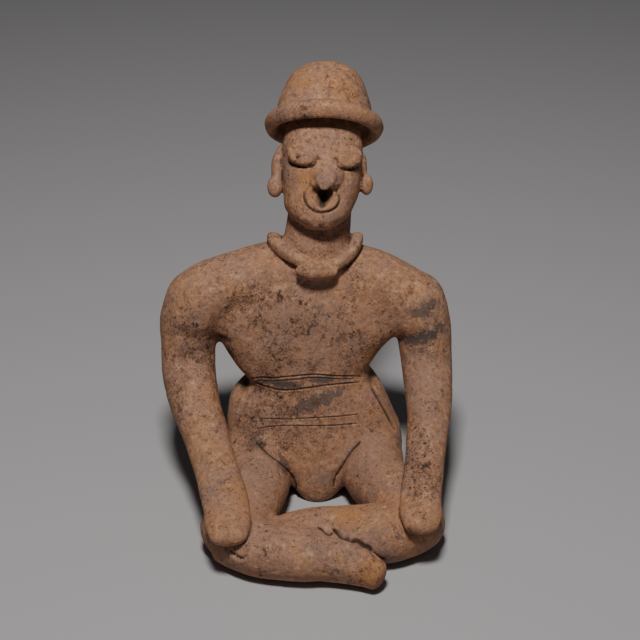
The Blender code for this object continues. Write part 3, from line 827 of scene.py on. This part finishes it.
refine(figure, FACE_LINES + BODY_LINES, SPLIT_REACH)
skin = Surface(figure)
for size, height, seed in UNEVENNESS:
    skin.uneven(size, height, seed)
skin.turn()
work_body(skin)
work_head(skin)
skin.turn()
skin.gather_crease_shade(LEAST_HOLLOW, MOST_HOLLOW, CREASE_SHADE)
low, high = [np.array(corner) / MM for corner in cad_box]
skin.points = np.clip(skin.points, low + BOX_CLEARANCE, high - BOX_CLEARANCE)
skin.finish()

thin = figure.modifiers.new("thin", 'DECIMATE')
thin.ratio = TRIANGLES / (2 * len(figure.data.polygons))
settle(figure)
figure.data.transform(Matrix.Scale(MM, 4))
for face in figure.data.polygons:
    face.use_smooth = True


# Fired clay

class Tone:
    """The value or colour that comes out of a shader node, used in plain sums."""

    def __init__(self, bench, socket):
        self.bench = bench
        self.socket = socket

    def sum(self, operation, a, b):
        """A Math node on two tones or numbers."""
        return self.bench.node('ShaderNodeMath', {'operation': operation}, {0: a, 1: b})

    def __add__(self, other):
        return self.sum('ADD', self, other)

    def __radd__(self, other):
        return self.sum('ADD', other, self)

    def __sub__(self, other):
        return self.sum('SUBTRACT', self, other)

    def __rsub__(self, other):
        return self.sum('SUBTRACT', other, self)

    def __mul__(self, other):
        return self.sum('MULTIPLY', self, other)

    def __rmul__(self, other):
        return self.sum('MULTIPLY', other, self)

    def held(self, low, high):
        """The tone kept from low to high."""
        return self.sum('MINIMUM', self.sum('MAXIMUM', self, low), high)

    def between(self, start, stop):
        """0 up to start, 1 from stop, with a soft passage; start may be the higher one."""
        return self.bench.node('ShaderNodeMapRange', {'interpolation_type': 'SMOOTHSTEP'},
                               {0: self, 1: start, 2: stop, 3: 0.0, 4: 1.0})


class Bench:
    """A material being put together."""

    def __init__(self, name):
        self.material = bpy.data.materials.new(name)
        self.material.use_nodes = True
        self.tree = self.material.node_tree
        self.shader = self.tree.nodes["Principled BSDF"]

    def node(self, kind, settings=None, sockets=None, output=0):
        """Any node: its settings first, then the values or links of its sockets."""
        made = self.tree.nodes.new(kind)
        for name, value in (settings or {}).items():
            setattr(made, name, value)
        for key, value in (sockets or {}).items():
            self.feed(made.inputs[key], value)
        return Tone(self, made.outputs[output])

    def feed(self, socket, value):
        """Link a tone to a socket, or set the socket's own value."""
        if isinstance(value, Tone):
            self.tree.links.new(value.socket, socket)
        elif isinstance(value, tuple) and socket.type == 'RGBA':
            socket.default_value = (*value[:3], 1.0)
        else:
            socket.default_value = value

    def mix(self, share, under, over, way='MIX'):
        """One colour laid over another by a share."""
        return self.node('ShaderNodeMix', {'data_type': 'RGBA', 'blend_type': way},
                         {0: share, 6: under, 7: over}, output=2)

    def cloud(self, place, grain, detail=3.0, rough=0.55, twist=0.0):
        """Noise whose patches are about one grain across, in metres."""
        return self.node('ShaderNodeTexNoise', None, {
            'Vector': place, 'Scale': 1.0 / grain, 'Detail': detail, 'Roughness': rough,
            'Distortion': twist})

    def specks(self, place, grain):
        """Distance from scattered points that lie about one grain apart, in metres."""
        return self.node('ShaderNodeTexVoronoi', {'feature': 'F1'}, {
            'Vector': place, 'Scale': 1.0 / grain})

    def shifted(self, place, amount, offset):
        """A place moved about by a tone."""
        return self.node('ShaderNodeVectorMath', {'operation': 'MULTIPLY_ADD'},
                         {0: amount, 1: offset, 2: place})

    def patch(self, place, centre, halves, turn=(0.0, 0.0, 0.0)):
        """Distance from the middle of a soft round place, 1 at its edge; sizes in millimetres."""
        angles = tuple(math.radians(a) for a in turn)
        local = self.node('ShaderNodeMapping', {'vector_type': 'TEXTURE'}, {
            'Vector': place, 'Location': tuple(c * MM for c in centre), 'Rotation': angles,
            'Scale': tuple(h * MM for h in halves)})
        return self.node('ShaderNodeVectorMath', {'operation': 'LENGTH'}, {0: local}, output=1)


TAN = (0.42, 0.212, 0.112)
ORANGE = (0.44, 0.20, 0.078)
ROSE = (0.37, 0.20, 0.132)
MAUVE = (0.27, 0.17, 0.138)
PALE = (0.56, 0.36, 0.235)
# Near black: the dark mineral specks, and the painted shade with dirt in grooves, hollows and creases
SPECK_AND_SHADE_BLACK = (0.030, 0.020, 0.016)
UMBER = (0.105, 0.048, 0.026)
# Dark brown painted shade for the hollows
CREASE_SHADE_BROWN = (0.20, 0.075, 0.03)
SLATE = (0.105, 0.078, 0.072)
WORN = (0.62, 0.60, 0.58)

# Centre, half sizes and strength of places that fired warmer or cooler, in millimetres
WARM_PLACES = (
    ((36, -106, 42), (14, 14, 10), 0.7), ((58, -160, 24), (16, 14, 16), 0.75),
    ((-1, 48, 287), (9, 9, 12), 0.6), ((-4, 108, 358), (18, 16, 14), 0.5),
    ((34, 92, 350), (14, 16, 12), 0.4), ((-86, 10, 96), (14, 16, 12), 0.5),
    ((-60, -95, 62), (16, 22, 12), 0.4), ((-84, 60, 186), (16, 16, 14), 0.35),
)
COOL_PLACES = (
    ((-10, 84, 338), (26, 12, 9), 0.7), ((18, 33, 296), (7, 8, 14), 0.55),
    ((16, -27, 25), (12, 12, 9), 0.6), ((-10, 20, 150), (60, 40, 40), 0.4),
    ((56, -30, 50), (26, 50, 24), 0.45), ((-44, -50, 50), (26, 50, 24), 0.4),
    ((104, 0, 110), (20, 50, 30), 0.4), ((-40, -126, 30), (40, 24, 24), 0.4),
)
# Centre, half sizes, turn and strength of the worn bands of dark slip
SLIP_BANDS = (
    ((103, 18, 149), (22, 26, 6.0), (0, -20, 0), 0.95),
    ((104, 22, 175), (13, 20, 5.4), (0, -22, 0), 0.75),
    ((-93, 20, 140), (17, 26, 5.0), (0, 4, 0), 0.4),
    ((-24, 3, 108), (20, 12, 4.2), (0, 4, 0), 0.95),
    ((14, 3, 113.5), (13, 12, 3.2), (0, 0, 0), 0.85),
    ((9, -2, 94), (25, 16, 7.0), (0, -22, 0), 0.8),
    ((-46, 3, 101), (13, 14, 9.0), (0, 0, 0), 0.5),
    ((79, -120, 36), (4.5, 6, 4), (0, 0, 0), 0.7),
    ((-9, -30, 58), (8, 8, 6), (0, 0, 0), 0.6),
    ((9, -24, 60), (4, 8, 5), (0, 0, 0), 0.8),
    ((-20, -34, 44), (7, 10, 14), (0, 35, 0), 0.75),
    ((-46, -16, 60), (10, 10, 6), (0, 0, 0), 0.6),
)
# Centre, half sizes, where the crowd of specks is full, and how much it adds
SPECK_PLACES = (
    ((-20, 20, 150), (105, 70, 50), 0.5, 0.34), ((-35, -10, 80), (50, 40, 45), 0.4, 0.38),
    ((-105, 0, 110), (40, 70, 60), 0.5, 0.20), ((98, -70, 75), (26, 60, 26), 0.6, 0.3),
)
HAT_SPECKS = ((0, 100, 330), (70, 60, 50))
# Grain, softness, strength, colour and threshold of the blots
BLOTS = (
    (0.0085, 0.14, 0.45, UMBER, 0.585), (0.0050, 0.05, 0.60, UMBER, 0.605),
    (0.0032, 0.05, 0.75, SPECK_AND_SHADE_BLACK, 0.645), (0.0015, 0.09, 0.70, UMBER, 0.59),
    (0.0100, 0.04, 0.85, SPECK_AND_SHADE_BLACK, 0.70),
)
# Spacing, size and strength of the round grains
GRAINS = ((0.0125, 0.13, 0.85), (0.0062, 0.15, 0.75))


def fired_colour(bench, place, drift, fine, grain):
    """The warm and cool clouds that the firing left in the clay."""
    broad = bench.cloud(place, 0.075, 3.0, 0.6)
    colour = bench.mix(drift.between(0.38, 0.62), TAN, ROSE)
    colour = bench.mix(broad.between(0.52, 0.66) * 0.42, colour, ORANGE)
    cool = bench.cloud(place, 0.052, 4.0, 0.65, 0.6)
    colour = bench.mix(cool.between(0.53, 0.68) * 0.65, colour, MAUVE)
    colour = bench.mix(fine.between(0.53, 0.68) * 0.55, colour, PALE)
    colour = bench.mix(fine.between(0.47, 0.32) * 0.65, colour, MAUVE)
    mottle = bench.cloud(place, 0.0042, 4.0, 0.7)
    colour = bench.mix(1.0, colour, 1.0 + (mottle - 0.5) * 1.6 + (grain - 0.5) * 0.8, 'MULTIPLY')
    for places, tint in ((WARM_PLACES, ORANGE), (COOL_PLACES, MAUVE)):
        for centre, halves, strength in places:
            away = bench.patch(place, centre, halves) + (drift - 0.5) * 1.6
            colour = bench.mix(away.between(1.15, 0.45) * strength, colour, tint)
    return colour


def slip_over(bench, place, colour, fine, grain):
    """Worn bands of dark slip round the arm and the waist."""
    wear = (fine - 0.5) * 2.2 + (grain - 0.5) * 2.2
    for centre, halves, turn, strength in SLIP_BANDS:
        slip = bench.patch(place, centre, halves, turn) + wear
        colour = bench.mix(slip.between(1.25, 0.75) * strength, colour, SLATE)
    return colour


def specks_over(bench, place, colour, crowd):
    """Mineral specks, thick on the chest, the belly and the arms, few on the head and the legs."""
    many = (crowd - 0.5) * 2.2 + 0.12
    for centre, halves, full, extra in SPECK_PLACES:
        many = many + bench.patch(place, centre, halves).between(1.3, full) * extra
    many = many + bench.patch(place, *HAT_SPECKS).between(1.2, 0.7) * 0.06
    many = many.held(0.0, 1.0)
    for size, edge, strength, tint, start in BLOTS:
        blot = bench.cloud(place, size, 4.0, 0.7, 0.25) + many * 0.13
        colour = bench.mix(blot.between(start, start + edge) * strength, colour, tint)
    for spacing, size, strength in GRAINS:
        sway = bench.node('ShaderNodeTexNoise', None, {
            'Vector': place, 'Scale': 2.6 / spacing, 'Detail': 3.0}, output=1)
        bent = bench.shifted(place, sway, (0.7 * spacing,) * 3)
        limit = many * size + 0.3 * size
        dot = (limit - bench.specks(bent, spacing)).between(-0.03, 0.04)
        colour = bench.mix(dot * strength, colour, SPECK_AND_SHADE_BLACK)
    flecks = bench.cloud(place, 0.0030, 3.0, 0.6, 0.4)
    return bench.mix(flecks.between(0.36, 0.28) * 0.4, colour, PALE)


def wear_and_shade_over(bench, colour, grain):
    """Painted shade with some dirt in the grooves and creases, rubbed edges, and a dull grain all over.
    """
    dirt_and_shade = bench.node('ShaderNodeAttribute', {'attribute_name': "dirt_and_shade"}, output=2)
    # Grooves, hollows and creases painted near black: painted shade, with dirt in the incised lines
    colour = bench.mix(dirt_and_shade.between(0.05, 0.85) * 0.94, colour, SPECK_AND_SHADE_BLACK)
    hollow = bench.node('ShaderNodeNewGeometry', output=7)
    # Hollows, by the surface's own curvature, are painted darker brown as shade
    colour = bench.mix(hollow.between(0.47, 0.40) * 0.6, colour, CREASE_SHADE_BROWN)
    colour = bench.mix(hollow.between(0.52, 0.60) * 0.35, colour, PALE)
    dull = bench.mix(1.0, colour, WORN, 'MULTIPLY')
    return bench.mix((grain - 0.5).between(-0.35, 0.35) * 0.5, colour, dull)


def make_terracotta():
    """Unglazed fired clay: warm and cool clouds, dark mineral specks, worn slip bands, and dirt with
    painted shade in the grooves and creases.
    """
    bench = Bench("terracotta")
    place = bench.node('ShaderNodeTexCoord', output=3)
    drift = bench.cloud(place, 0.034, 4.0, 0.62, 0.4)
    fine = bench.cloud(place, 0.008, 4.0, 0.65)
    grain = bench.cloud(place, 0.0022, 3.0, 0.7)
    crowd = bench.cloud(place, 0.028, 4.0, 0.65)

    colour = fired_colour(bench, place, drift, fine, grain)
    colour = slip_over(bench, place, colour, fine, grain)
    colour = specks_over(bench, place, colour, crowd)
    colour = wear_and_shade_over(bench, colour, grain)
    bench.feed(bench.shader.inputs['Base Color'], colour)
    bench.feed(bench.shader.inputs['Roughness'], 0.74 + fine * 0.2)
    bench.shader.inputs['Specular IOR Level'].default_value = 0.35

    pits = bench.specks(place, 0.0046).between(0.24, 0.05) * crowd.between(0.4, 0.6)
    height = (fine - 0.5) * 0.9 + (grain - 0.5) * 0.45 - pits * 0.5
    bump = bench.node('ShaderNodeBump', None, {'Strength': 0.8, 'Distance': 0.0011, 'Height': height})
    bench.feed(bench.shader.inputs['Normal'], bump)
    return bench.material


terracotta = make_terracotta()
figure.data.materials.clear()
figure.data.materials.append(terracotta)
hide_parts("seated_figure")
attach(figure, "root")


# Studio

def plain_material(name, colour, roughness):
    """A material of one colour."""
    bench = Bench(name)
    bench.feed(bench.shader.inputs['Base Color'], colour)
    bench.feed(bench.shader.inputs['Roughness'], roughness)
    return bench.material


def make_floor():
    """A wide round sheet of pale paper under the figure."""
    mesh = bmesh.new()
    bmesh.ops.create_circle(mesh, cap_ends=True, segments=128, radius=FLOOR_RADIUS)
    data = bpy.data.meshes.new("floor")
    mesh.to_mesh(data)
    mesh.free()
    floor = bpy.data.objects.new("floor", data)
    floor.data.materials.append(plain_material("floor_paper", FLOOR_COLOUR, FLOOR_ROUGHNESS))
    bpy.context.scene.collection.objects.link(floor)
    return floor


def add_softbox(name, place, aim, size, watts, tint=(1.0, 1.0, 1.0)):
    """A square soft light turned towards a point."""
    light = bpy.data.lights.new(name, 'AREA')
    light.shape = 'SQUARE'
    light.size = size
    light.energy = watts
    light.color = tint
    lamp = bpy.data.objects.new(name, light)
    lamp.location = place
    lamp.rotation_euler = (Vector(aim) - Vector(place)).to_track_quat('-Z', 'Y').to_euler()
    bpy.context.scene.collection.objects.link(lamp)
    return lamp


def light_world(colour, strength):
    """The even light of the room."""
    world = bpy.data.worlds.new("studio")
    world.use_nodes = True
    background = world.node_tree.nodes["Background"]
    background.inputs['Color'].default_value = (*colour, 1.0)
    background.inputs['Strength'].default_value = strength
    bpy.context.scene.world = world


def add_camera():
    """The camera in front of the figure, looking down at it."""
    lean = math.radians(CAMERA_ELEVATION)
    lens = bpy.data.cameras.new("camera")
    lens.sensor_width = SENSOR_MM
    lens.lens = LENS_PX / IMAGE_PX * SENSOR_MM
    lens.clip_end = CLIP_END
    camera = bpy.data.objects.new("camera", lens)
    camera.location = CAMERA_AIM + Vector((0.0, -math.cos(lean), math.sin(lean))) * CAMERA_DISTANCE
    camera.rotation_euler = (0.5 * math.pi - lean, 0.0, 0.0)
    bpy.context.scene.collection.objects.link(camera)
    bpy.context.scene.camera = camera


make_floor()
add_softbox("key_light", KEY_PLACE, KEY_AIM, KEY_SIZE, KEY_WATTS, KEY_TINT)
add_softbox("fill_light", FILL_PLACE, FILL_AIM, FILL_SIZE, FILL_WATTS)
light_world(ROOM_COLOUR, ROOM_STRENGTH)
add_camera()
